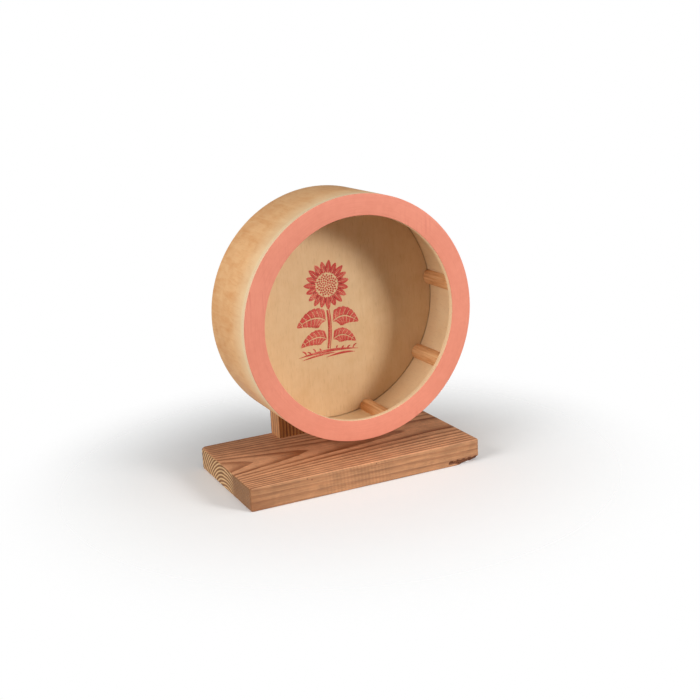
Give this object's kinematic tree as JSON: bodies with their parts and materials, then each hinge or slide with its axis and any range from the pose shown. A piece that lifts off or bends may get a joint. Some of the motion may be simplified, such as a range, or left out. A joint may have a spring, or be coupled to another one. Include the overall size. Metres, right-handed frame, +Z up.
{
  "type": "rodent exercise wheel",
  "caption": "Free-standing wooden exercise wheel: a drum with an open painted front ring and half-round rungs, turning on a ball-bearing bolt in a post on a thick softwood board.",
  "frame": {"origin": "centre of the board's underside", "axes": "+Z up, X along the board's length, +Y from the open front of the drum to the post behind it"},
  "size_m": [0.2115, 0.1254, 0.2323],
  "materials": {
    "board_wood": "oiled larch, strong grain",
    "post_wood": "oiled larch, standing grain",
    "ring_paint": "plywood, painted matt coral pink, cut edges bare",
    "band_ply": "bent birch plywood, varnished",
    "disc_ply": "birch plywood, varnished",
    "rung_wood": "half-round softwood strip",
    "hub_wood": "beech block",
    "zinc_steel": "bright zinc plate",
    "screw_steel": "yellow zinc plate",
    "bearing_steel": "ground steel",
    "shield_steel": "pressed steel",
    "cage_nylon": "natural nylon"
  },
  "bodies": {
    "stand": {"base_board": "board_wood", "post": "post_wood", "post_screws": "screw_steel", "front_bearing_outer_race": "bearing_steel", "front_bearing_shields": "shield_steel", "rear_bearing_outer_race": "bearing_steel", "rear_bearing_shields": "shield_steel"},
    "wheel": {"front_ring": "ring_paint", "running_band": "band_ply", "back_disc": "disc_ply", "rung_1": "rung_wood", "rung_2": "rung_wood", "rung_3": "rung_wood", "rung_4": "rung_wood", "rung_5": "rung_wood", "rung_6": "rung_wood", "rung_7": "rung_wood", "rung_8": "rung_wood", "rung_9": "rung_wood", "hub_block": "hub_wood", "hub_screws": "screw_steel", "axle_bolt": "zinc_steel", "hub_sleeve": "zinc_steel", "bearing_spacer": "zinc_steel", "axle_washer": "zinc_steel", "lock_nut": "zinc_steel", "front_bearing_inner_race": "bearing_steel", "rear_bearing_inner_race": "bearing_steel"},
    "front_cage": {"front_bearing_cage": "cage_nylon", "front_bearing_balls": "bearing_steel"},
    "rear_cage": {"rear_bearing_cage": "cage_nylon", "rear_bearing_balls": "bearing_steel"}
  },
  "joints": [
    {"name": "wheel_spin", "type": "hinge", "parent": "stand", "child": "wheel", "pos_m": [0.0085, 0, 0.1323], "axis": [0, 1, 0], "continuous": true},
    {"name": "front_cage_spin", "type": "hinge", "parent": "stand", "child": "front_cage", "pos_m": [0.0085, 0, 0.1323], "axis": [0, 1, 0], "continuous": true},
    {"name": "rear_cage_spin", "type": "hinge", "parent": "stand", "child": "rear_cage", "pos_m": [0.0085, 0, 0.1323], "axis": [0, 1, 0], "continuous": true}
  ],
  "couplings": [
    {"joint": "front_cage_spin", "follows": "wheel_spin", "ratio": 0.36},
    {"joint": "rear_cage_spin", "follows": "wheel_spin", "ratio": 0.36}
  ]
}
